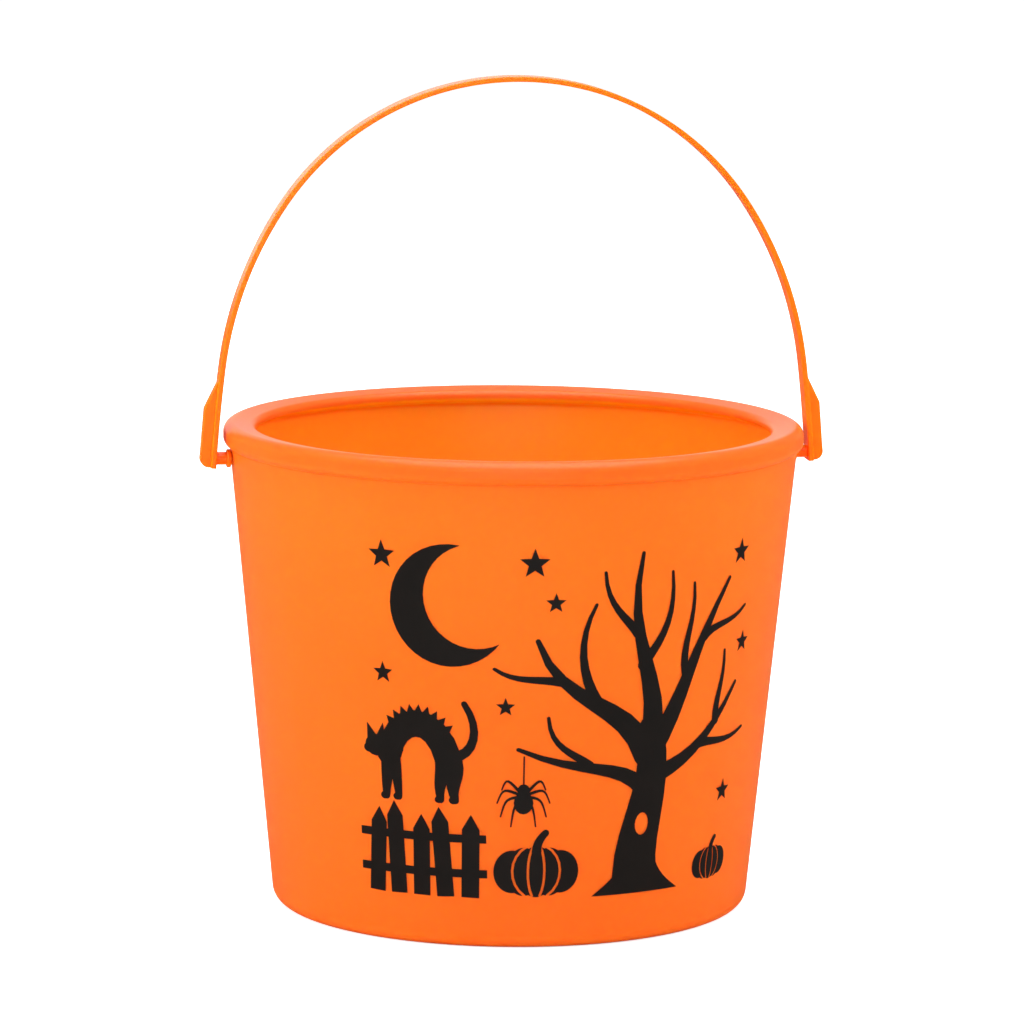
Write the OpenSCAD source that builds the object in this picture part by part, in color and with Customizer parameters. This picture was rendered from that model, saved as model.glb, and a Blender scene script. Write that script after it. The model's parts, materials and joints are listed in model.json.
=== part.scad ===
// Candy pail with a swinging bail handle, in millimetres.
// The pail stands on the table at z = 0 with its axis on Z. The bail swings about the X axis
// at pivot_z, and the printed side faces -Y.

/* [Pail] */
// Height of the pail, from the table to the crown of its rim
pail_h = 167.5; // [140:0.5:220]
// Radius of the rim bead's outer face
rim_r = 100; // [80:0.5:130]
// Radius that the straight wall would have at the table
base_r = 82; // [60:0.5:90]
// Thickness of the moulded wall
wall_t = 1.6; // [1:0.1:2]
// Radius of the rounded corner between the wall and the base
base_corner_r = 5.5; // [4:0.5:12]
// Height of the recess under the base
pushup_h = 2; // [1:0.5:6]
// Slope of the recess's edge, in degrees
pushup_slope = 45; // [30:1:60]
// Width of the ring that the pail stands on
foot_w = 4; // [2:0.5:8]
// Width of the raised weld line across the recess
weld_w = 1; // [0.6:0.1:2]
// Height of the weld line
weld_h = 0.5; // [0.2:0.1:0.8]
// Length of the weld line
weld_len = 84; // [40:1:120]

/* [Rim] */
// Height of the bead, from its lower crease to the crown
bead_h = 8; // [7:0.5:14]
// How far the bead stands out from the wall below it
bead_overhang = 2.2; // [1:0.1:4]
// Radius of the bead's lower outer edge
bead_low_r = 3; // [2.5:0.1:3.5]
// Radius of the bead's upper outer edge
bead_top_r = 3.5; // [2.5:0.1:4]
// Width of the rim, from the bead's outer face to the mouth
rim_w = 11.1; // [8:0.1:20]
// Fall of the rim towards the mouth, in degrees
rim_fall = 9.5; // [0:0.5:15]
// Radius of the rounded mouth edge
mouth_edge_r = 2.2; // [2.1:0.1:3]
// Height of the straight lip below the rounded mouth edge
lip_h = 0.6; // [0.2:0.1:4]

/* [Pegs] */
// Depth of the pivot below the crown of the rim
pivot_drop = 11.5; // [11.2:0.1:30]
// Radius of the peg
peg_r = 2.2; // [1.6:0.1:2.8]
// Radial clearance of the peg in its hole
peg_clear = 0.08; // [0.02:0.01:0.1]
// Radius of the collar outside the wall
collar_r = 3.15; // [2.8:0.05:3.3]
// Thickness of the collar
collar_t = 1.4; // [0.8:0.1:2]
// Radius of the snap head inside the wall
head_r = 2.9; // [2.6:0.1:3.2]
// Length of the snap head
head_len = 4; // [2:0.5:6]
// Radius of the snap head's blunt tip
head_tip_r = 1.5; // [1:0.1:1.9]
// Gap between the wall and the collar or head that faces it
peg_play = 0.25; // [0.15:0.05:0.6]

/* [Bail] */
// Thickness of the strap
strap_t = 1.8; // [1.4:0.1:3]
// Width of the strap
strap_w = 8.5; // [6:0.5:14]
// Radius of the strap's long edges
strap_edge_r = 0.4; // [0.2:0.1:0.6]
// Gap between the bead's outer face and the strap at the pivot
strap_gap = 3.1; // [2.5:0.1:6]
// Length of strap below the pivot
strap_tail = 3; // [2.8:0.1:6]
// Inward lean of the strap at the pivot, in degrees
pivot_lean = 3.8; // [2:0.1:5]
// Inward lean where the leg meets the shoulder, in degrees
shoulder_lean = 7; // [6:0.1:10]
// Inward lean where the shoulder meets the crown, in degrees
crown_lean = 34.3; // [30:0.1:40]
// Bow radius of the leg
leg_bow_r = 560; // [500:1:600]
// Bend radius of the shoulder
shoulder_r = 128; // [122:1:140]

/* [Fin] */
// How far the fin stands out from the strap's outer face
fin_out = 3.7; // [2:0.1:6]
// Thickness of the fin
fin_w = 4; // [2:0.5:6]
// Height of the fin's full width, from the end of the strap
fin_full_h = 20; // [12:1:24]
// Height over which the fin tapers into the strap
fin_taper_h = 12.5; // [6:0.5:20]
// Radius of the fin's lower outer corner
fin_corner_r = 3; // [1:0.5:3.5]

/* [Print] */
// Bare wall between the table and the print
print_foot_gap = 18; // [12:1:40]
// Bare wall between the bead and the print
print_top_gap = 19; // [8:1:60]
// Thickness of the ink film
ink_t = 0.1; // [0.05:0.01:0.3]
// Gap between the wall and the ink film
ink_gap = 0.03; // [0.02:0.01:0.05]
// How far the ink spreads past the drawing
ink_spread = 0.05; // [0.02:0.01:0.1]

/* [Hidden] */

$fn = 96;
arc_steps = 12;
edge_steps = 2;
leg_steps = 4;
shoulder_steps = 9;
crown_steps = 20;
ring_steps = 180;
curve_steps = 8;
round_sides = 16;
big_round_sides = 40;
cut_over = 1;

// Pail
bead_z = pail_h - bead_h;
wall_top_r = rim_r - bead_overhang;
draft = atan((wall_top_r - base_r) / bead_z);
mouth_r = rim_r - rim_w;
foot_r = base_r + base_corner_r * ((1 - sin(draft)) * tan(draft) - cos(draft));
foot_in_r = foot_r - foot_w;
bead_low_cr = rim_r - bead_low_r;
bead_low_a = -acos(1 - min(1, bead_overhang / bead_low_r));
bead_low_cz = bead_z - bead_low_r * sin(bead_low_a);
bead_top_cr = rim_r - bead_top_r;
bead_top_cz = pail_h - bead_top_r;
mouth_cr = mouth_r + mouth_edge_r;
mouth_cz = bead_top_cz
    + (bead_top_r - mouth_edge_r - sin(rim_fall) * (bead_top_cr - mouth_cr)) / cos(rim_fall);
lip_z = mouth_cz - lip_h;

// Bail
pivot_z = pail_h - pivot_drop;
strap_u = rim_r + strap_gap + strap_t / 2;
crown_r = shoulder_r + (strap_u - (shoulder_r - leg_bow_r) * cos(shoulder_lean)
    - leg_bow_r * cos(pivot_lean)) / cos(crown_lean);
crown_c = [0, pivot_z - (crown_r - shoulder_r) * sin(crown_lean)
    - (shoulder_r - leg_bow_r) * sin(shoulder_lean) - leg_bow_r * sin(pivot_lean)];
shoulder_c = crown_c + (crown_r - shoulder_r) * [cos(crown_lean), sin(crown_lean)];
leg_c = shoulder_c + (shoulder_r - leg_bow_r) * [cos(shoulder_lean), sin(shoulder_lean)];
tail_lean = pivot_lean - strap_tail / leg_bow_r * 180 / PI;

// Print
print_z = print_foot_gap;
print_h = bead_z - print_top_gap - print_foot_gap;

function wall_r(z) = base_r + z * tan(draft);

function steps(from, to, count) = [for (i = [0 : count]) from + (to - from) * i / count];

function arc(c, r, from, to, count = arc_steps) =
    [for (a = steps(from, to, count)) [c[0] + r * cos(a), c[1] + r * sin(a)]];

function reversed(list) = [for (i = [len(list) - 1 : -1 : 0]) list[i]];

function tail(list) = [for (i = [1 : len(list) - 1]) list[i]];

// One face of the moulding, from the middle of the base to the mouth, set in by t
function skin(t) = concat(
    [[0, pushup_h + t],
     [foot_in_r - pushup_h / tan(pushup_slope) + t * tan(pushup_slope / 2), pushup_h + t],
     [foot_in_r + t * tan(pushup_slope / 2), t]],
    arc([foot_r, base_corner_r], base_corner_r - t, -90, -draft),
    t == 0
        ? arc([bead_low_cr, bead_low_cz], bead_low_r, bead_low_a, 0)
        : concat(
            arc([wall_top_r, bead_z], t, 180 - draft, 180 + bead_low_a),
            tail(arc([bead_low_cr, bead_low_cz], bead_low_r - t, bead_low_a, 0))),
    arc([bead_top_cr, bead_top_cz], bead_top_r - t, 0, 90 + rim_fall),
    arc([mouth_cr, mouth_cz], mouth_edge_r - t, 90 + rim_fall, 180),
    [[mouth_r + t, lip_z]]);

module weld_line() {
    translate([-weld_len / 2, -weld_w / 2, pushup_h - weld_h])
        cube([weld_len, weld_w, weld_h + wall_t / 2]);
}

module pail_shell() {
    color([1, 0.46, 0.13])
    difference() {
        union() {
            rotate_extrude($fn = ring_steps)
                polygon(concat(skin(0), reversed(skin(wall_t))));
            weld_line();
        }
        translate([0, 0, pivot_z])
            rotate([0, 90, 0])
                cylinder(h = 2 * (rim_r + cut_over), r = peg_r + peg_clear, center = true);
    }
}

// The middle of the strap at a lean, which runs from one tail over the crown to the other
function spine(lean) =
    let (a = min(lean, 180 - lean),
         c = a < shoulder_lean ? leg_c : a < crown_lean ? shoulder_c : crown_c,
         r = a < shoulder_lean ? leg_bow_r : a < crown_lean ? shoulder_r : crown_r)
    [(lean > 90 ? -1 : 1) * (c[0] + r * cos(a)), c[1] + r * sin(a)];

function strap_leans() =
    let (half = concat(steps(tail_lean, shoulder_lean, leg_steps),
                       tail(steps(shoulder_lean, crown_lean, shoulder_steps)),
                       tail(steps(crown_lean, 90, crown_steps))))
    concat(half, tail([for (a = reversed(half)) 180 - a]));

function strap_section() =
    let (x = strap_t / 2 - strap_edge_r, y = strap_w / 2 - strap_edge_r)
    [for (q = [[x, y, 0], [-x, y, 90], [-x, -y, 180], [x, -y, 270]])
        each arc([q[0], q[1]], strap_edge_r, q[2], q[2] + 90, edge_steps)];

// The strap is its section swept along the spine
module strap() {
    section = strap_section();
    leans = strap_leans();
    n = len(section);
    last = len(leans) - 1;
    polyhedron(
        points = [for (lean = leans, p = section)
            let (at = spine(lean) + p[0] * [cos(lean), sin(lean)])
            [at[0], p[1], at[1]]],
        faces = concat(
            [for (i = [0 : last - 1], j = [0 : n - 1]) [i * n + j, (i + 1) * n + j, i * n + (j + 1) % n]],
            [for (i = [0 : last - 1], j = [0 : n - 1])
                [i * n + (j + 1) % n, (i + 1) * n + j, (i + 1) * n + (j + 1) % n]],
            [[for (j = [0 : n - 1]) j], [for (j = [n - 1 : -1 : 0]) last * n + j]]));
}

// A place beside the leg's spine, at a lean and a distance outwards
function beside_leg(lean, out) = leg_c + (leg_bow_r + out) * [cos(lean), sin(lean)];

function lean_above_tail(h) = tail_lean + h / leg_bow_r * 180 / PI;

module fin() {
    out = strap_t / 2 + fin_out;
    corner = beside_leg(lean_above_tail(fin_corner_r), out - fin_corner_r);
    rotate([90, 0, 0])
        linear_extrude(height = fin_w, center = true)
            polygon(concat(
                [beside_leg(tail_lean, 0)],
                arc(corner, fin_corner_r, tail_lean - 90, tail_lean),
                [beside_leg(lean_above_tail(fin_full_h), out),
                 beside_leg(lean_above_tail(fin_full_h + fin_taper_h), 0)]));
}

module peg() {
    rise = collar_r * tan(draft);
    collar_in = wall_r(pivot_z) + rise + peg_play;
    shoulder = wall_r(pivot_z) - wall_t / cos(draft) - rise - peg_play;
    rotate([0, 90, 0])
        rotate_extrude()
            polygon([
                [0, shoulder - head_len], [head_tip_r, shoulder - head_len],
                [head_r, shoulder], [peg_r, shoulder],
                [peg_r, collar_in], [collar_r, collar_in],
                [collar_r, collar_in + collar_t], [peg_r, collar_in + collar_t],
                [peg_r, strap_u], [0, strap_u]]);
}

module bail_side() {
    fin();
    translate([0, 0, pivot_z])
        peg();
}

module bail_handle() {
    color([1, 0.5, 0.09]) {
        strap();
        bail_side();
        mirror([1, 0, 0])
            bail_side();
    }
}

// The print is drawn flat, in shares of its height, and laid on the wall motif by motif.
// A place is [along the wall to the right of the front, up from the foot of the print].
tree_place_share = [0.26, 0];
tree_size_share = 0.98;
spider_place_share = [-0.075, 0.29];
spider_size_share = 0.0625;
pumpkin_place_shares = [[-0.035, 0], [0.53, 0]];
pumpkin_size_shares = [0.2, 0.13];
fence_place_share = [-0.35, 0];
fence_size_share = 0.26;
cat_place_share = [-0.36, 0.262];
cat_size_share = 0.29;
moon_place_share = [-0.29, 0.82];
moon_size_share = 0.17;
// Place and outer radius of each star
star_shares = [[-0.49, 0.95, 0.04], [-0.48, 0.62, 0.03], [-0.06, 0.94, 0.042],
               [0, 0.83, 0.028], [-0.13, 0.54, 0.026], [0.64, 0.67, 0.03],
               [0.61, 0.93, 0.036], [0.58, 0.25, 0.032]];

// A curve is four points and the stroke's widths at both ends, in shares of the motif's height.
// A round is its place, its radius and how much taller than wide it is.
limb_shares = [
    [[0, -0.01], [-0.05, 0.16], [0.06, 0.28], [0.01, 0.47], 0.15, 0.085],
    [[0, 0.1], [-0.03, 0.04], [-0.08, 0.02], [-0.14, -0.01], 0.1, 0.015],
    [[0, 0.1], [0.03, 0.04], [0.07, 0.02], [0.14, -0.01], 0.1, 0.015],
    [[0, 0.4], [-0.08, 0.57], [-0.26, 0.54], [-0.33, 0.74], 0.075, 0.012],
    [[0.01, 0.42], [0.05, 0.62], [-0.1, 0.72], [-0.05, 0.98], 0.075, 0.01],
    [[0.01, 0.4], [0.12, 0.54], [0.13, 0.68], [0.27, 0.88], 0.07, 0.01],
    [[0.01, 0.33], [0.12, 0.36], [0.21, 0.4], [0.33, 0.57], 0.055, 0.01],
    [[0, 0.3], [-0.08, 0.39], [-0.2, 0.35], [-0.36, 0.43], 0.05, 0.01],
    [[-0.16, 0.56], [-0.21, 0.64], [-0.23, 0.74], [-0.18, 0.84], 0.032, 0.008],
    [[-0.26, 0.622], [-0.33, 0.635], [-0.38, 0.62], [-0.43, 0.66], 0.025, 0.008],
    [[-0.05, 0.75], [-0.09, 0.8], [-0.15, 0.83], [-0.16, 0.93], 0.028, 0.008],
    [[-0.03, 0.66], [0.04, 0.74], [0.07, 0.8], [0.05, 0.92], 0.03, 0.008],
    [[0.12, 0.62], [0.09, 0.7], [0.15, 0.77], [0.13, 0.88], 0.028, 0.008],
    [[0.178, 0.717], [0.22, 0.76], [0.29, 0.74], [0.35, 0.79], 0.026, 0.008],
    [[0.18, 0.41], [0.24, 0.42], [0.3, 0.39], [0.38, 0.43], 0.028, 0.008],
    [[0.25, 0.47], [0.24, 0.53], [0.28, 0.58], [0.27, 0.67], 0.026, 0.008],
    [[-0.17, 0.38], [-0.22, 0.42], [-0.28, 0.43], [-0.29, 0.52], 0.024, 0.008]];
knot_share = [0, 0.2, 0.022, 1.5];

cat_back_share = [[0.24, 0.45], [0.3, 0.83], [0.72, 0.92], [0.84, 0.42], 0.25, 0.26];
cat_limb_shares = [
    [[0.12, 0.52], [0.17, 0.52], [0.2, 0.5], [0.27, 0.52], 0.2, 0.24],
    [[0.24, 0.46], [0.22, 0.3], [0.2, 0.18], [0.2, 0.04], 0.17, 0.07],
    [[0.28, 0.46], [0.31, 0.3], [0.32, 0.18], [0.33, 0.04], 0.14, 0.065],
    [[0.84, 0.44], [0.93, 0.3], [0.84, 0.2], [0.89, 0.04], 0.24, 0.07],
    [[0.8, 0.44], [0.8, 0.3], [0.72, 0.2], [0.75, 0.04], 0.2, 0.065],
    [[0.88, 0.46], [1.08, 0.48], [1.16, 0.74], [1, 0.98], 0.1, 0.055]];
cat_round_shares = [[0.1, 0.52, 0.115, 0.9], [0.02, 0.49, 0.05, 0.9], [0.18, 0.04, 0.04, 0.9],
                    [0.31, 0.04, 0.037, 0.9], [0.87, 0.04, 0.04, 0.9], [0.73, 0.04, 0.037, 0.9]];
cat_ear_shares = [[[0.01, 0.56], [0.01, 0.73], [0.11, 0.61]], [[0.1, 0.6], [0.18, 0.74], [0.21, 0.56]]];
cat_middle_share = 0.55;
hackle_count = 8;
hackle_from_share = 0.27;
hackle_to_share = 0.8;
hackle_root_share = 0.112;
hackle_share = 0.075;

picket_pitch_share = 0.26;
picket_w_share = 0.18;
picket_tip_share = 0.16;
picket_h_shares = [0.92, 1, 0.88, 0.97, 0.9];
picket_tilts = [-3, 2, -1, 3, -2];
rail_w_share = 0.085;
rail_h_shares = [0.26, 0.64];

pumpkin_rib_shares = [[-0.33, 0.38, 0.25, 1.2], [-0.17, 0.38, 0.25, 1.36], [0, 0.38, 0.25, 1.44],
                      [0.17, 0.38, 0.25, 1.36], [0.33, 0.38, 0.25, 1.2]];
pumpkin_stem_share = [[0, 0.66], [0, 0.76], [0.03, 0.84], [0.12, 0.93], 0.13, 0.09];
// A groove's curve, with its distance from the middle in shares of a groove's place
groove_curve_share = [[0.5, 0.74], [1.5, 0.6], [1.5, 0.2], [0.6, 0.04]];
groove_place_shares = [-0.26, -0.09, 0.09, 0.26];
groove_w_share = 0.04;

spider_round_shares = [[0, -0.3, 0.42, 1.2], [0, 0.28, 0.26, 1]];
spider_leg_angles = [-62, -30, 2, 34];
spider_knee_share = 0.9;
spider_foot_share = 1.15;
spider_rise_share = 0.35;
spider_leg_w_shares = [0.13, 0.05];
thread_share = 1.8;
thread_w_share = 0.055;

moon_round_share = [0, 0, 1, 1];
moon_bite_share = [0.42, 0.16, 0.86, 1];

star_tips = 5;
star_notch_share = 0.42;

stroke_end_angles = [-60 : 30 : 60];

function bezier(p, t) = pow(1 - t, 3) * p[0] + 3 * t * pow(1 - t, 2) * p[1]
    + 3 * t * t * (1 - t) * p[2] + t * t * t * p[3];

function slope(p, t) = 3 * pow(1 - t, 2) * (p[1] - p[0]) + 6 * t * (1 - t) * (p[2] - p[1])
    + 3 * t * t * (p[3] - p[2]);

function heading(s, t) = slope(s, t) / norm(slope(s, t));

function left_of(d) = [-d[1], d[0]];

function stroke_side(s, side) = [for (t = steps(0, 1, curve_steps))
    bezier(s, t) + side * (s[4] + (s[5] - s[4]) * t) / 2 * left_of(heading(s, t))];

function stroke_end(c, d, r) = [for (a = stroke_end_angles) c + r * (cos(a) * d + sin(a) * left_of(d))];

// A round-ended stroke that follows a curve and tapers from its first width to its second
module stroke(s) {
    polygon(concat(
        stroke_side(s, -1), stroke_end(s[3], heading(s, 1), s[5] / 2),
        reversed(stroke_side(s, 1)), stroke_end(s[0], -heading(s, 0), s[4] / 2)));
}

module round(b, sides = round_sides) {
    translate([b[0], b[1]])
        scale([b[2], b[2] * b[3]])
            circle(r = 1, $fn = sides);
}

// Lays a drawing in millimetres on the wall, with its origin at a place of the print
module ink(place_share) {
    place_z = print_z + place_share[1] * print_h;
    color([0.05, 0.03, 0.02])
    intersection() {
        rotate([0, 0, place_share[0] * print_h / wall_r(place_z) * 180 / PI])
            translate([0, -base_r / 2, place_z])
                rotate([90, 0, 0])
                    linear_extrude(height = rim_r)
                        offset(delta = ink_spread)
                            children();
        rotate_extrude($fn = ring_steps)
            polygon([for (p = [[ink_gap, 0], [ink_gap + ink_t, 0],
                               [ink_gap + ink_t, bead_z], [ink_gap, bead_z]])
                [wall_r(p[1]) + p[0] / cos(draft), p[1]]]);
    }
}

module print_tree() {
    size = tree_size_share * print_h;
    ink(tree_place_share)
        intersection() {
            scale(size)
                difference() {
                    union()
                        for (s = limb_shares)
                            stroke(s);
                    round(knot_share);
                }
            translate([-size, 0])
                square([2 * size, size]);
        }
}

module spider_leg(a) {
    reach = [cos(a), sin(a)];
    rise = [0, spider_rise_share];
    knee = spider_knee_share * reach + rise;
    stroke([[0, 0], knee, knee, spider_foot_share * reach - rise,
            spider_leg_w_shares[0], spider_leg_w_shares[1]]);
}

module print_spider() {
    ink(spider_place_share)
        scale(spider_size_share * print_h) {
            for (b = spider_round_shares)
                round(b);
            for (a = spider_leg_angles, side = [0, 1])
                mirror([side, 0])
                    spider_leg(a);
            translate([-thread_w_share / 2, 0])
                square([thread_w_share, thread_share]);
        }
}

module pumpkin() {
    difference() {
        union()
            for (rib = pumpkin_rib_shares)
                round(rib, big_round_sides);
        for (x = groove_place_shares)
            stroke(concat([for (p = groove_curve_share) [x * p[0], p[1]]], groove_w_share, groove_w_share));
    }
    stroke(pumpkin_stem_share);
}

module print_pumpkins() {
    for (i = [0 : len(pumpkin_size_shares) - 1])
        ink(pumpkin_place_shares[i])
            scale(pumpkin_size_shares[i] * print_h)
                pumpkin();
}

module hackle(t) {
    d = heading(cat_back_share, t);
    root = bezier(cat_back_share, t) + hackle_root_share * left_of(d);
    polygon([root - d * hackle_share / 2, root + hackle_share * left_of(d), root + d * hackle_share / 2]);
}

module print_cat() {
    ink(cat_place_share)
        scale(cat_size_share * print_h)
            translate([-cat_middle_share, 0]) {
                stroke(cat_back_share);
                for (s = cat_limb_shares)
                    stroke(s);
                for (b = cat_round_shares)
                    round(b);
                for (ear = cat_ear_shares)
                    polygon(ear);
                for (t = steps(hackle_from_share, hackle_to_share, hackle_count))
                    hackle(t);
            }
}

module picket(h) {
    polygon([
        [-picket_w_share / 2, 0], [picket_w_share / 2, 0],
        [picket_w_share / 2, h - picket_tip_share], [0, h], [-picket_w_share / 2, h - picket_tip_share]]);
}

module print_fence() {
    width = (len(picket_h_shares) - 1) * picket_pitch_share;
    ink(fence_place_share)
        scale(fence_size_share * print_h) {
            for (i = [0 : len(picket_h_shares) - 1])
                translate([i * picket_pitch_share - width / 2, 0])
                    rotate([0, 0, picket_tilts[i]])
                        picket(picket_h_shares[i]);
            for (h = rail_h_shares)
                translate([0, h])
                    square([width + 2 * picket_w_share, rail_w_share], center = true);
        }
}

module print_moon() {
    ink(moon_place_share)
        scale(moon_size_share * print_h)
            difference() {
                round(moon_round_share, big_round_sides);
                round(moon_bite_share, big_round_sides);
            }
}

module star() {
    polygon([for (i = [0 : 2 * star_tips - 1])
        let (r = i % 2 == 0 ? 1 : star_notch_share, a = 180 * i / star_tips)
        r * [sin(a), cos(a)]]);
}

module print_stars() {
    for (s = star_shares)
        ink([s[0], s[1]])
            scale(s[2] * print_h)
                star();
}

pail_shell();
bail_handle();
print_tree();
print_spider();
print_pumpkins();
print_cat();
print_fence();
print_moon();
print_stars();
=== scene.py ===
"""Looks of a candy pail with a swinging bail handle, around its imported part, in metres."""

import json
import math

import bmesh
import bpy
from mathutils import Matrix, Quaternion, Vector

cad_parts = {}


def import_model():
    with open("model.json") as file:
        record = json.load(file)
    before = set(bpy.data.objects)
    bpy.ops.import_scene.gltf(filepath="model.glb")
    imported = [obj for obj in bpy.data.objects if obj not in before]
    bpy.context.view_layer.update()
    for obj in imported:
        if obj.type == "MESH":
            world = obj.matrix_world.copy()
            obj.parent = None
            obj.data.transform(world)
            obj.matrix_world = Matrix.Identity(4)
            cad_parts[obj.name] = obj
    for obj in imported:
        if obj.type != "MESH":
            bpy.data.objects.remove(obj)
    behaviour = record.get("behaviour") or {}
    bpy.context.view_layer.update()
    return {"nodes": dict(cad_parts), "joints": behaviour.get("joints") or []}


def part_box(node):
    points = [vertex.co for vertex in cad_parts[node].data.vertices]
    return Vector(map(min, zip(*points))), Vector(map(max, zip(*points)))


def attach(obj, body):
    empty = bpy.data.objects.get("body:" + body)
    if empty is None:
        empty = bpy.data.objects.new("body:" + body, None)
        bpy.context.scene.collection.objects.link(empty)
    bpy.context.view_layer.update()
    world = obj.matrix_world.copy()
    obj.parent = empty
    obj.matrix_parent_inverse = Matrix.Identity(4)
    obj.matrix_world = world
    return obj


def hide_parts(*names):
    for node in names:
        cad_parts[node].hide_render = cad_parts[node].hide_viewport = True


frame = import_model()
shell_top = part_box("pail_shell")[1]
PRINT_NODES = sorted(name for name in frame["nodes"] if name.startswith("print_"))

# Pail
PAIL_H = shell_top.z
RIM_R = shell_top.y
BASE_R = 0.082
WALL_T = 0.0016
BASE_CORNER_R = 0.0055
PUSHUP_H = 0.002
PUSHUP_SLOPE = 45.0
FOOT_W = 0.004
WELD_W = 0.001
WELD_H = 0.0005
WELD_LEN = 0.084
WELD_EDGE_R = 0.0002

# Rim
BEAD_H = 0.008
BEAD_OVERHANG = 0.0022
BEAD_LOW_R = 0.003
BEAD_TOP_R = 0.0035
RIM_W = 0.0111
RIM_FALL = 9.5
MOUTH_EDGE_R = 0.0022
LIP_H = 0.0006

# Pegs
PIVOT_Z = frame["joints"][0]["pos_m"][2]
PEG_R = 0.0022
PEG_CLEAR = 0.00008
COLLAR_R = 0.00315
COLLAR_T = 0.0014
HEAD_R = 0.0029
HEAD_LEN = 0.004
HEAD_TIP_R = 0.0015
HEAD_LEAD = 20.0
PEG_PLAY = 0.00025
PEG_EDGE_R = 0.0003

# Bail
STRAP_T = 0.0018
STRAP_W = 0.0085
STRAP_EDGE_R = 0.0004
STRAP_GAP = 0.0031
STRAP_TAIL = 0.003
PIVOT_LEAN = 3.8
SHOULDER_LEAN = 7.0
CROWN_LEAN = 34.3
LEG_BOW_R = 0.56
SHOULDER_R = 0.128

# Fin
FIN_OUT = 0.0037
FIN_W = 0.004
FIN_FULL_H = 0.02
FIN_TAPER_H = 0.0125
FIN_CORNER_R = 0.003
FIN_EDGE_R = 0.0003

# Print
INK_T = 0.0001
INK_GAP = 0.00003

# Fineness of the meshes
TURN_STEPS = 360
PEG_STEPS = 64
ARC_STEPS = 12
EDGE_STEPS = 4
LEG_STEPS = 12
SHOULDER_STEPS = 18
CROWN_STEPS = 48
FLOOR_STEPS = 128
HOLE_BAND = 0.004
HOLE_BAND_STEPS = 4
MERGE_DISTANCE = 0.000002
SLICE_DISTANCE = 0.0000002
SHARP_ANGLE = 40.0
CUT_OVER = 0.001

# Colours, in linear red, green and blue
PAIL_COLOUR = (0.95, 0.132, 0.009)
BAIL_COLOUR = (0.93, 0.2, 0.002)
INK_COLOUR = (0.0065, 0.0035, 0.002)
WHITE = (1.0, 1.0, 1.0)

# Finishes: how tone, gloss and grain vary over a surface, with scales in waves per metre
PAIL_SURFACE = {
    "Tone Scale": 14, "Tone Amount": 0.02, "Roughness Low": 0.32, "Roughness High": 0.38,
    "Grain Scale": 900, "Grain Share": 0.02,
}
BAIL_SURFACE = {
    "Tone Scale": 30, "Tone Amount": 0.02, "Roughness Low": 0.22, "Roughness High": 0.28,
    "Grain Scale": 1200, "Grain Share": 0.03,
}
INK_SURFACE = {
    "Tone Scale": 120, "Tone Amount": 0.3, "Roughness Low": 0.42, "Roughness High": 0.55,
    "Grain Scale": 2500, "Grain Share": 0.3,
}
PAIL_BUMP = 0.00015
BAIL_BUMP = 0.00006
INK_BUMP = 0.00001
TONE_DETAIL = 3
GRAIN_DETAIL = 5
TONE_ROUGHNESS = 0.5
GRAIN_ROUGHNESS = 0.6
NOISE_SPAN = (0.3, 0.7)

# How far light travels inside the plastic, in millimetres for red, green and blue
MILLIMETRE = 0.001
PLASTIC_IOR = 1.5
PAIL_GLOW = (8.5, 8.0, 3.5)
BAIL_GLOW = (2.0, 1.0, 0.5)

# White surround: the background that the camera sees, and the dimmer one that lights the pail
SEEN_LEVEL = 1.0
SKY_LEVEL = 0.36
REFLECTED_LEVEL = 0.14
BACKDROP_LEVEL = 1.0
BACKDROP_EDGE = (0.85, 0.96)
FLOOR_R = 12.0
FLOOR_WHITE = 0.9
FLOOR_LIFT = 0.7
FLOOR_ROUGHNESS = 0.9

# Lamps: azimuth and elevation in degrees, distance and size in metres, power in watts
LAMPS = {
    "overhead": (0, 80, 1.3, 1.7, 19),
    "key_left": (-72, 16, 1.8, 1.0, 25),
    "fill_right": (68, 16, 1.8, 1.0, 19),
    "front": (-9, 4, 1.9, 1.2, 4),
    "back": (180, 25, 2.0, 1.6, 16),
}
MIRRORED_LAMPS = ("overhead", "front")

# Camera, as fitted to the photograph
CAMERA_TARGET = Vector((-0.00025, 0.00004, 0.13594))
CAMERA_DISTANCE = 2.0377
CAMERA_AZIMUTH = -9.0
CAMERA_ELEVATION = 8.715
CAMERA_ROLL = 0.5466
CAMERA_LENS = 207.36
CAMERA_SENSOR = 36.0

# Pail's derived sizes
BEAD_Z = PAIL_H - BEAD_H
WALL_TOP_R = RIM_R - BEAD_OVERHANG
DRAFT = math.atan((WALL_TOP_R - BASE_R) / BEAD_Z)
MOUTH_R = RIM_R - RIM_W
FOOT_R = BASE_R + BASE_CORNER_R * ((1 - math.sin(DRAFT)) * math.tan(DRAFT) - math.cos(DRAFT))
FOOT_IN_R = FOOT_R - FOOT_W


def polar(centre, radius, degrees):
    angle = math.radians(degrees)
    return (centre[0] + radius * math.cos(angle), centre[1] + radius * math.sin(angle))


def steps(start, end, count):
    return [start + (end - start) * i / count for i in range(count + 1)]


def arc(centre, radius, start, end, count=ARC_STEPS):
    return [polar(centre, radius, a) for a in steps(start, end, count)]


def wall_r(z):
    return BASE_R + z * math.tan(DRAFT)


def wall_run(inset, start, end):
    """Points up one straight face of the wall, with a band of short steps round the pegs' holes."""
    band = steps(PIVOT_Z - HOLE_BAND, min(PIVOT_Z + HOLE_BAND, end), HOLE_BAND_STEPS)
    return [(wall_r(z) - inset / math.cos(DRAFT), z) for z in (start, *band)]


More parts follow.
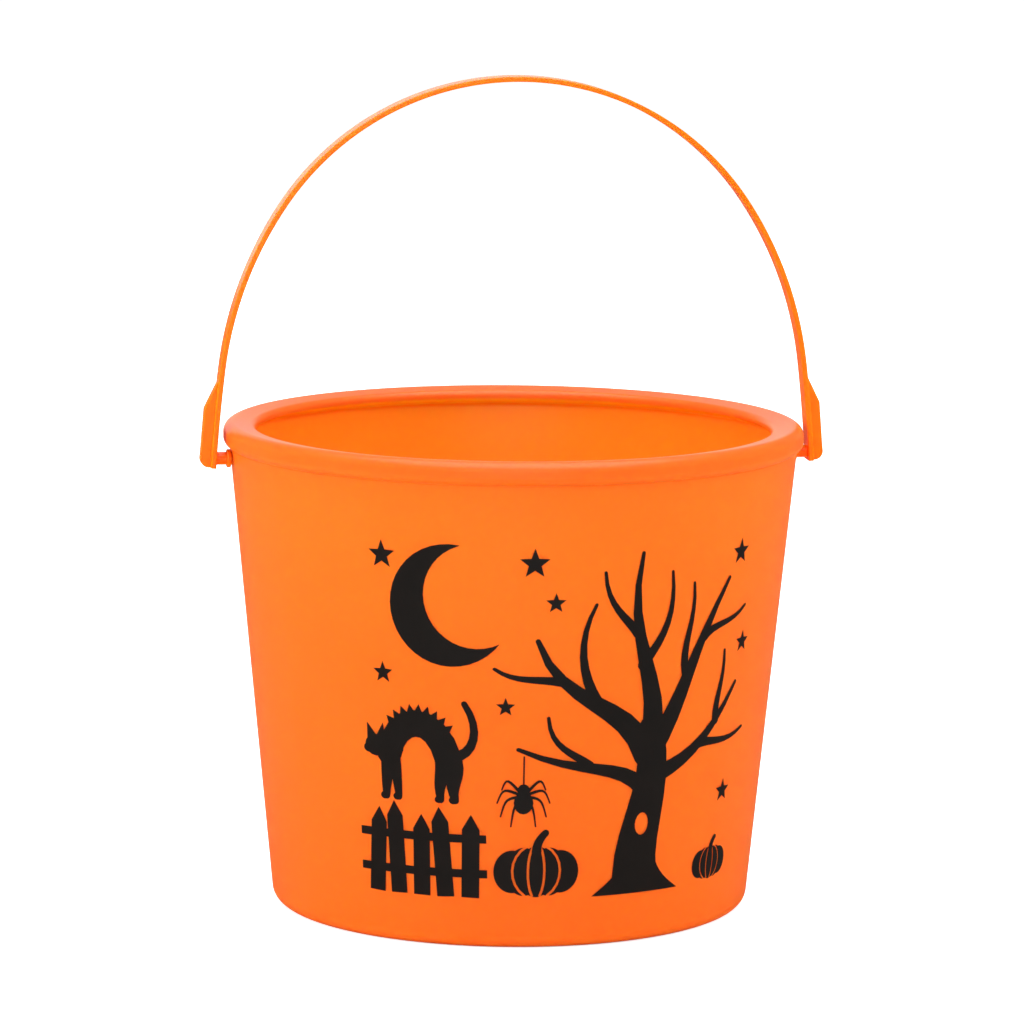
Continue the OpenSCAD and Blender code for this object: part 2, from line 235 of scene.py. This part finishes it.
def skin(inset):
    """One face of the moulding, from the middle of the base to the mouth, set in from the outside."""
    low_a = -math.degrees(math.acos(1 - BEAD_OVERHANG / BEAD_LOW_R))
    low_c = (RIM_R - BEAD_LOW_R, BEAD_Z - BEAD_LOW_R * math.sin(math.radians(low_a)))
    top_c = (RIM_R - BEAD_TOP_R, PAIL_H - BEAD_TOP_R)
    mouth_x = MOUTH_R + MOUTH_EDGE_R
    fall = math.radians(RIM_FALL)
    drop = BEAD_TOP_R - MOUTH_EDGE_R - math.sin(fall) * (top_c[0] - mouth_x)
    mouth_c = (mouth_x, top_c[1] + drop / math.cos(fall))
    slope = math.radians(PUSHUP_SLOPE)
    shift = inset * math.tan(slope / 2)
    draft = math.degrees(DRAFT)
    corner = arc((FOOT_R, BASE_CORNER_R), BASE_CORNER_R - inset, -90, -draft)
    bead_low = arc(low_c, BEAD_LOW_R - inset, low_a, 0)
    points = [(0.0, PUSHUP_H + inset)]
    points.append((FOOT_IN_R - PUSHUP_H / math.tan(slope) + shift, PUSHUP_H + inset))
    points.append((FOOT_IN_R + shift, inset))
    points += corner
    points += wall_run(inset, corner[-1][1] + HOLE_BAND, BEAD_Z - CUT_OVER)
    if inset:
        points += arc((WALL_TOP_R, BEAD_Z), inset, 180 - draft, 180 + low_a)
        bead_low = bead_low[1:]
    points += bead_low
    points += arc(top_c, BEAD_TOP_R - inset, 0, 90 + RIM_FALL)
    points += arc(mouth_c, MOUTH_EDGE_R - inset, 90 + RIM_FALL, 180)
    points.append((MOUTH_R + inset, mouth_c[1] - LIP_H))
    return points


def link(name, bm):
    """An object at the origin with the mesh of bm, which is freed."""
    bmesh.ops.recalc_face_normals(bm, faces=bm.faces)
    mesh = bpy.data.meshes.new(name)
    bm.to_mesh(mesh)
    bm.free()
    obj = bpy.data.objects.new(name, mesh)
    bpy.context.scene.collection.objects.link(obj)
    return obj


def lathe(name, outline, count, turn=Matrix.Identity(3)):
    """A closed solid turned about Z from (radius, height) points whose two ends lie on the axis."""
    bm = bmesh.new()
    rings = []
    for radius, height in outline:
        if radius < MERGE_DISTANCE:
            rings.append([bm.verts.new(turn @ Vector((0, 0, height)))])
            continue
        ring = []
        for i in range(count):
            x, y = polar((0, 0), radius, 360 * i / count)
            ring.append(bm.verts.new(turn @ Vector((x, y, height))))
        rings.append(ring)
    for low, high in zip(rings, rings[1:]):
        for i in range(count):
            corners = [low[i % len(low)], low[(i + 1) % len(low)]]
            corners += [high[(i + 1) % len(high)], high[i % len(high)]]
            bm.faces.new(list(dict.fromkeys(corners)))
    return link(name, bm)


def cut(target, tools, operation):
    """Joins the tools to the target, or takes them out of it, and removes them."""
    for tool in tools:
        modifier = target.modifiers.new("cut", "BOOLEAN")
        modifier.operation = operation
        modifier.solver = "EXACT"
        modifier.object = tool
    bpy.context.view_layer.update()
    solid = target.evaluated_get(bpy.context.evaluated_depsgraph_get())
    mesh = bpy.data.meshes.new_from_object(solid)
    target.modifiers.clear()
    target.data = mesh
    for tool in tools:
        bpy.data.objects.remove(tool)


def smooth(obj):
    """Smooth shading with sharp edges where faces meet at a steep angle."""
    bm = bmesh.new()
    bm.from_mesh(obj.data)
    bmesh.ops.remove_doubles(bm, verts=bm.verts, dist=MERGE_DISTANCE)
    bmesh.ops.dissolve_degenerate(bm, edges=bm.edges, dist=MERGE_DISTANCE)
    for face in bm.faces:
        face.smooth = True
    for edge in bm.edges:
        edge.smooth = edge.calc_face_angle(0) < math.radians(SHARP_ANGLE)
    bm.to_mesh(obj.data)
    bm.free()
    weighted = obj.modifiers.new("weighted_normals", "WEIGHTED_NORMAL")
    weighted.keep_sharp = True


def weld_line():
    """The moulding's raised line across the underside of the base."""
    bm = bmesh.new()
    size = Vector((WELD_LEN, WELD_W, WELD_H + WALL_T / 2))
    middle = Vector((0, 0, PUSHUP_H - WELD_H + size.z / 2))
    bmesh.ops.create_cube(bm, size=1, matrix=Matrix.Translation(middle) @ Matrix.Diagonal(size).to_4x4())
    low = [edge for edge in bm.edges if all(v.co.z < middle.z for v in edge.verts)]
    bmesh.ops.bevel(bm, geom=low, offset=WELD_EDGE_R, segments=EDGE_STEPS, affect="EDGES")
    return link("weld", bm)


def peg_holes():
    """One long rod that cuts the holes on both sides."""
    reach = RIM_R + CUT_OVER
    radius = PEG_R + PEG_CLEAR
    outline = [(0, -reach), (radius, -reach), (radius, reach), (0, reach)]
    hole = lathe("hole", outline, PEG_STEPS, Matrix.Rotation(math.radians(90), 3, "Y"))
    hole.location.z = PIVOT_Z
    return hole


def pail():
    shell = lathe("pail_moulding", skin(0) + skin(WALL_T)[::-1], TURN_STEPS)
    cut(shell, [weld_line()], "UNION")
    cut(shell, [peg_holes()], "DIFFERENCE")
    smooth(shell)
    return shell


def bail_arcs():
    """Radius of the crown, and centres in XZ of the crown's, the shoulder's and the leg's arcs."""
    strap_u = RIM_R + STRAP_GAP + STRAP_T / 2
    out = strap_u - (SHOULDER_R - LEG_BOW_R) * math.cos(math.radians(SHOULDER_LEAN))
    out -= LEG_BOW_R * math.cos(math.radians(PIVOT_LEAN))
    crown_r = SHOULDER_R + out / math.cos(math.radians(CROWN_LEAN))
    crown_z = PIVOT_Z - (crown_r - SHOULDER_R) * math.sin(math.radians(CROWN_LEAN))
    crown_z -= (SHOULDER_R - LEG_BOW_R) * math.sin(math.radians(SHOULDER_LEAN))
    crown_z -= LEG_BOW_R * math.sin(math.radians(PIVOT_LEAN))
    crown_c = (0.0, crown_z)
    shoulder_c = polar(crown_c, crown_r - SHOULDER_R, CROWN_LEAN)
    leg_c = polar(shoulder_c, SHOULDER_R - LEG_BOW_R, SHOULDER_LEAN)
    return crown_r, crown_c, shoulder_c, leg_c


CROWN_R, CROWN_C, SHOULDER_C, LEG_C = bail_arcs()
TAIL_LEAN = PIVOT_LEAN - math.degrees(STRAP_TAIL / LEG_BOW_R)


def spine(lean, out=0.0):
    """A place beside the strap's middle line, which runs from one tail over the crown to the other."""
    side = min(lean, 180 - lean)
    if side < SHOULDER_LEAN:
        x, z = polar(LEG_C, LEG_BOW_R + out, side)
    elif side < CROWN_LEAN:
        x, z = polar(SHOULDER_C, SHOULDER_R + out, side)
    else:
        x, z = polar(CROWN_C, CROWN_R + out, side)
    return (x if lean <= 90 else -x, z)


def strap_leans():
    half = steps(TAIL_LEAN, SHOULDER_LEAN, LEG_STEPS)
    half += steps(SHOULDER_LEAN, CROWN_LEAN, SHOULDER_STEPS)[1:]
    half += steps(CROWN_LEAN, 90, CROWN_STEPS)[1:]
    return half + [180 - a for a in half[-2::-1]]


def strap_section():
    x = STRAP_T / 2 - STRAP_EDGE_R
    y = STRAP_W / 2 - STRAP_EDGE_R
    corners = [(x, y, 0), (-x, y, 90), (-x, -y, 180), (x, -y, 270)]
    return [p for cx, cy, a in corners for p in arc((cx, cy), STRAP_EDGE_R, a, a + 90, EDGE_STEPS)]


def strap():
    bm = bmesh.new()
    rings = []
    for lean in strap_leans():
        ring = []
        for out, y in strap_section():
            x, z = spine(lean, out)
            ring.append(bm.verts.new((x, y, z)))
        rings.append(ring)
    for low, high in zip(rings, rings[1:]):
        for i in range(len(low)):
            j = (i + 1) % len(low)
            bm.faces.new((low[i], low[j], high[j], high[i]))
    bm.faces.new(rings[0])
    bm.faces.new(rings[-1])
    return link("bail_moulding", bm)


def beside_leg(height, out):
    """A place in XZ at a height along the leg from its tail, and a distance out from its middle line."""
    return polar(LEG_C, LEG_BOW_R + out, TAIL_LEAN + math.degrees(height / LEG_BOW_R))


def fin(side):
    """The upright fin on the outside of one end, with its long edges rounded."""
    out = STRAP_T / 2 + FIN_OUT
    corner = beside_leg(FIN_CORNER_R, out - FIN_CORNER_R)
    outline = [beside_leg(0, 0), *arc(corner, FIN_CORNER_R, TAIL_LEAN - 90, TAIL_LEAN)]
    outline.append(beside_leg(FIN_FULL_H, out))
    outline.append(beside_leg(FIN_FULL_H + FIN_TAPER_H, 0))
    bm = bmesh.new()
    faces = []
    for y in (-FIN_W / 2, FIN_W / 2):
        faces.append(bm.faces.new([bm.verts.new((side * x, y, z)) for x, z in outline]))
    front, back = (list(face.verts) for face in faces)
    for i in range(len(outline)):
        j = (i + 1) % len(outline)
        bm.faces.new((front[i], front[j], back[j], back[i]))
    long_edges = [edge for face in faces for edge in face.edges]
    bmesh.ops.bevel(bm, geom=long_edges, offset=FIN_EDGE_R, segments=EDGE_STEPS, affect="EDGES")
    return link("fin", bm)


def peg(side):
    """The peg of one end: its snap head inside the wall, its shank and its collar outside."""
    rise = COLLAR_R * math.tan(DRAFT)
    collar_in = wall_r(PIVOT_Z) + rise + PEG_PLAY
    collar_out = collar_in + COLLAR_T
    head_out = wall_r(PIVOT_Z) - WALL_T / math.cos(DRAFT) - rise - PEG_PLAY
    tip = head_out - HEAD_LEN
    edge = PEG_EDGE_R
    outline = [(0, tip)]
    outline += arc((HEAD_TIP_R - edge, tip + edge), edge, -90, -HEAD_LEAD, EDGE_STEPS)
    outline += arc((HEAD_R - edge, head_out - edge), edge, -HEAD_LEAD, 90, EDGE_STEPS)
    outline += [(PEG_R, head_out), (PEG_R, collar_in)]
    outline += arc((COLLAR_R - edge, collar_in + edge), edge, -90, 0, EDGE_STEPS)
    outline += arc((COLLAR_R - edge, collar_out - edge), edge, 0, 90, EDGE_STEPS)
    outline += [(PEG_R, collar_out), (PEG_R, RIM_R + STRAP_GAP + STRAP_T / 2)]
    outline.append((0, outline[-1][1]))
    solid = lathe("peg", outline, PEG_STEPS, Matrix.Rotation(math.radians(90 * side), 3, "Y"))
    solid.location.z = PIVOT_Z
    return solid


def bail():
    handle = strap()
    cut(handle, [make(side) for make in (fin, peg) for side in (1, -1)], "UNION")
    smooth(handle)
    return handle


def film(node):
    """The ink of a print node, cut at every degree round the pail and laid evenly on the wall."""
    bm = bmesh.new()
    bm.from_mesh(frame["nodes"][node].data)
    bmesh.ops.remove_doubles(bm, verts=bm.verts, dist=MERGE_DISTANCE)
    depth = bm.verts.layers.float.new("depth")
    for v in bm.verts:
        off_wall = (math.hypot(v.co.x, v.co.y) - wall_r(v.co.z)) * math.cos(DRAFT)
        v[depth] = 1.0 if off_wall > INK_GAP + INK_T / 2 else 0.0
    turns = [math.degrees(math.atan2(v.co.y, v.co.x)) for v in bm.verts]
    step = 360 / TURN_STEPS
    for i in range(math.ceil(min(turns) / step), math.floor(max(turns) / step) + 1):
        x, y = polar((0, 0), 1, i * step + 90)
        every = [*bm.verts, *bm.edges, *bm.faces]
        bmesh.ops.bisect_plane(bm, geom=every, dist=SLICE_DISTANCE, plane_co=(0, 0, 0), plane_no=(x, y, 0))
    for v in bm.verts:
        radius = wall_r(v.co.z) + (INK_GAP + v[depth] * INK_T) / math.cos(DRAFT)
        scale = radius / math.hypot(v.co.x, v.co.y)
        v.co.x *= scale
        v.co.y *= scale
    bm.verts.layers.float.remove(depth)
    obj = link(node.replace("print_", "ink_"), bm)
    smooth(obj)
    return obj


def put(tree, value, socket):
    """Sets a socket to a number, or links another socket to it."""
    if isinstance(value, (int, float)):
        socket.default_value = value
    else:
        tree.links.new(value, socket)


def math_node(tree, operation, a, b):
    node = tree.nodes.new("ShaderNodeMath")
    node.operation = operation
    put(tree, a, node.inputs[0])
    put(tree, b, node.inputs[1])
    return node.outputs["Value"]


def mix(tree, share, a, b):
    """a where share is 0 and b where it is 1, each a number or a socket."""
    node = tree.nodes.new("ShaderNodeMix")
    put(tree, share, node.inputs[0])
    put(tree, a, node.inputs[2])
    put(tree, b, node.inputs[3])
    return node.outputs[0]


def map_range(tree, value, source, target, curve="LINEAR"):
    """A value carried from one range to another, whose ends are numbers or sockets."""
    node = tree.nodes.new("ShaderNodeMapRange")
    node.interpolation_type = curve
    names = ("Value", "From Min", "From Max", "To Min", "To Max")
    for name, end in zip(names, (value, *source, *target)):
        put(tree, end, node.inputs[name])
    return node.outputs["Result"]


def noise(tree, scale, detail, roughness):
    """A noise over the object's own coordinates."""
    place = tree.nodes.new("ShaderNodeTexCoord")
    texture = tree.nodes.new("ShaderNodeTexNoise")
    tree.links.new(place.outputs["Object"], texture.inputs["Vector"])
    put(tree, scale, texture.inputs["Scale"])
    put(tree, detail, texture.inputs["Detail"])
    put(tree, roughness, texture.inputs["Roughness"])
    return texture.outputs["Fac"]


def new_group(name, inputs, outputs):
    tree = bpy.data.node_groups.new(name, "ShaderNodeTree")
    for socket, kind in inputs:
        tree.interface.new_socket(socket, in_out="INPUT", socket_type=kind)
    for socket, kind in outputs:
        tree.interface.new_socket(socket, in_out="OUTPUT", socket_type=kind)
    return tree, tree.nodes.new("NodeGroupInput"), tree.nodes.new("NodeGroupOutput")


def surface_group():
    """Tone, roughness and height of a moulded or printed surface, faintly uneven."""
    inputs = [("Colour", "NodeSocketColor")]
    inputs += [(name, "NodeSocketFloat") for name in PAIL_SURFACE]
    outputs = [("Colour", "NodeSocketColor"), ("Roughness", "NodeSocketFloat"), ("Height", "NodeSocketFloat")]
    tree, given, result = new_group("moulded_surface", inputs, outputs)
    value = given.outputs
    wide = noise(tree, value["Tone Scale"], TONE_DETAIL, TONE_ROUGHNESS)
    grain = noise(tree, value["Grain Scale"], GRAIN_DETAIL, GRAIN_ROUGHNESS)
    darkest = math_node(tree, "SUBTRACT", 1, value["Tone Amount"])
    toned = tree.nodes.new("ShaderNodeVectorMath")
    toned.operation = "SCALE"
    tree.links.new(value["Colour"], toned.inputs[0])
    tree.links.new(map_range(tree, wide, NOISE_SPAN, (darkest, 1)), toned.inputs["Scale"])
    tree.links.new(toned.outputs["Vector"], result.inputs["Colour"])
    uneven = math_node(tree, "MULTIPLY", math_node(tree, "ADD", wide, grain), 0.5)
    gloss_ends = (value["Roughness Low"], value["Roughness High"])
    tree.links.new(map_range(tree, uneven, NOISE_SPAN, gloss_ends), result.inputs["Roughness"])
    fine = math_node(tree, "MULTIPLY", grain, value["Grain Share"])
    tree.links.new(math_node(tree, "ADD", wide, fine), result.inputs["Height"])
    return tree


SURFACE = surface_group()


def material(name, colour, values, bump):
    """A Principled material whose colour, roughness and bump come from the shared surface group."""
    made = bpy.data.materials.new(name)
    made.use_nodes = True
    tree = made.node_tree
    tree.nodes.clear()
    shader = tree.nodes.new("ShaderNodeBsdfPrincipled")
    output = tree.nodes.new("ShaderNodeOutputMaterial")
    tree.links.new(shader.outputs["BSDF"], output.inputs["Surface"])
    surface = tree.nodes.new("ShaderNodeGroup")
    surface.node_tree = SURFACE
    surface.inputs["Colour"].default_value = (*colour, 1)
    for socket, value in values.items():
        surface.inputs[socket].default_value = value
    relief = tree.nodes.new("ShaderNodeBump")
    relief.inputs["Strength"].default_value = 1
    relief.inputs["Distance"].default_value = bump
    tree.links.new(surface.outputs["Height"], relief.inputs["Height"])
    tree.links.new(surface.outputs["Colour"], shader.inputs["Base Color"])
    tree.links.new(surface.outputs["Roughness"], shader.inputs["Roughness"])
    tree.links.new(relief.outputs["Normal"], shader.inputs["Normal"])
    shader.inputs["IOR"].default_value = PLASTIC_IOR
    return made, shader


def translucent(finish, radius):
    """Lets light travel a short way inside a finish, by a distance for each of red, green and blue."""
    made, shader = finish
    shader.inputs["Subsurface Weight"].default_value = 1
    shader.inputs["Subsurface Radius"].default_value = radius
    shader.inputs["Subsurface Scale"].default_value = MILLIMETRE
    return made


def pail_plastic():
    return translucent(material("pail_plastic", PAIL_COLOUR, PAIL_SURFACE, PAIL_BUMP), PAIL_GLOW)


def bail_plastic():
    return translucent(material("bail_plastic", BAIL_COLOUR, BAIL_SURFACE, BAIL_BUMP), BAIL_GLOW)


def print_ink():
    return material("print_ink", INK_COLOUR, INK_SURFACE, INK_BUMP)[0]


def dress(obj, finish, body, nodes):
    obj.data.materials.clear()
    obj.data.materials.append(finish)
    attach(obj, body)
    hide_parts(*nodes)


def by_ray(tree, seen, reflected, plain):
    """One value for camera and transmission rays, one for glossy rays, and a plain one for the rest."""
    path = tree.nodes.new("ShaderNodeLightPath")
    clear = math_node(tree, "ADD", path.outputs["Is Camera Ray"], path.outputs["Is Transmission Ray"])
    return mix(tree, clear, mix(tree, path.outputs["Is Glossy Ray"], plain, reflected), seen)


def world():
    """An even white surround, whose reflection is full only behind the pail, as a backdrop's is."""
    made = bpy.data.worlds.new("white_surround")
    made.use_nodes = True
    tree = made.node_tree
    background = tree.nodes["Background"]
    background.inputs["Color"].default_value = (*WHITE, 1)
    towards = tree.nodes.new("ShaderNodeTexCoord")
    parts = tree.nodes.new("ShaderNodeSeparateXYZ")
    tree.links.new(towards.outputs["Generated"], parts.inputs["Vector"])
    levels = (REFLECTED_LEVEL, BACKDROP_LEVEL)
    backdrop = map_range(tree, parts.outputs["Y"], BACKDROP_EDGE, levels, "SMOOTHSTEP")
    tree.links.new(by_ray(tree, SEEN_LEVEL, backdrop, SKY_LEVEL), background.inputs["Strength"])
    bpy.context.scene.world = made


def floor():
    bm = bmesh.new()
    bmesh.ops.create_circle(bm, cap_ends=True, segments=FLOOR_STEPS, radius=FLOOR_R)
    obj = link("floor", bm)
    made = bpy.data.materials.new("white_floor")
    made.use_nodes = True
    tree = made.node_tree
    shader = tree.nodes["Principled BSDF"]
    shade = by_ray(tree, FLOOR_WHITE, FLOOR_WHITE * REFLECTED_LEVEL, FLOOR_WHITE)
    tree.links.new(shade, shader.inputs["Base Color"])
    shader.inputs["Roughness"].default_value = FLOOR_ROUGHNESS
    shader.inputs["Specular IOR Level"].default_value = 0
    shader.inputs["Emission Color"].default_value = (*WHITE, 1)
    tree.links.new(by_ray(tree, FLOOR_LIFT, 0, 0), shader.inputs["Emission Strength"])
    obj.data.materials.append(made)


def direction(azimuth, elevation):
    """A unit vector away from the pail, where azimuth 0 is its front and 90 its right side."""
    flat, rise = math.radians(azimuth), math.radians(elevation)
    return Vector((math.sin(flat) * math.cos(rise), -math.cos(flat) * math.cos(rise), math.sin(rise)))


def lamp(name, azimuth, elevation, distance, size, power):
    """A soft square lamp that faces the middle of the pail, and may stay out of its reflections."""
    light = bpy.data.lights.new(name, "AREA")
    light.size = size
    light.energy = power
    obj = bpy.data.objects.new(name, light)
    back = direction(azimuth, elevation)
    obj.location = Vector((0, 0, PAIL_H / 2)) + back * distance
    obj.rotation_euler = back.to_track_quat("Z", "Y").to_euler()
    obj.visible_glossy = name in MIRRORED_LAMPS
    bpy.context.scene.collection.objects.link(obj)


def camera():
    data = bpy.data.cameras.new("camera")
    data.lens = CAMERA_LENS
    data.sensor_width = CAMERA_SENSOR
    obj = bpy.data.objects.new("camera", data)
    back = direction(CAMERA_AZIMUTH, CAMERA_ELEVATION)
    obj.location = CAMERA_TARGET + back * CAMERA_DISTANCE
    obj.rotation_mode = "QUATERNION"
    roll = Quaternion((0, 0, 1), math.radians(CAMERA_ROLL))
    obj.rotation_quaternion = (-back).to_track_quat("-Z", "Y") @ roll
    bpy.context.scene.collection.objects.link(obj)
    bpy.context.scene.camera = obj


dress(pail(), pail_plastic(), "pail", ["pail_shell"])
dress(bail(), bail_plastic(), "bail", ["bail_handle"])
ink = print_ink()
for node in PRINT_NODES:
    dress(film(node), ink, "pail", [node])
world()
floor()
for name, settings in LAMPS.items():
    lamp(name, *settings)
camera()
bpy.context.scene.view_settings.view_transform = "Standard"
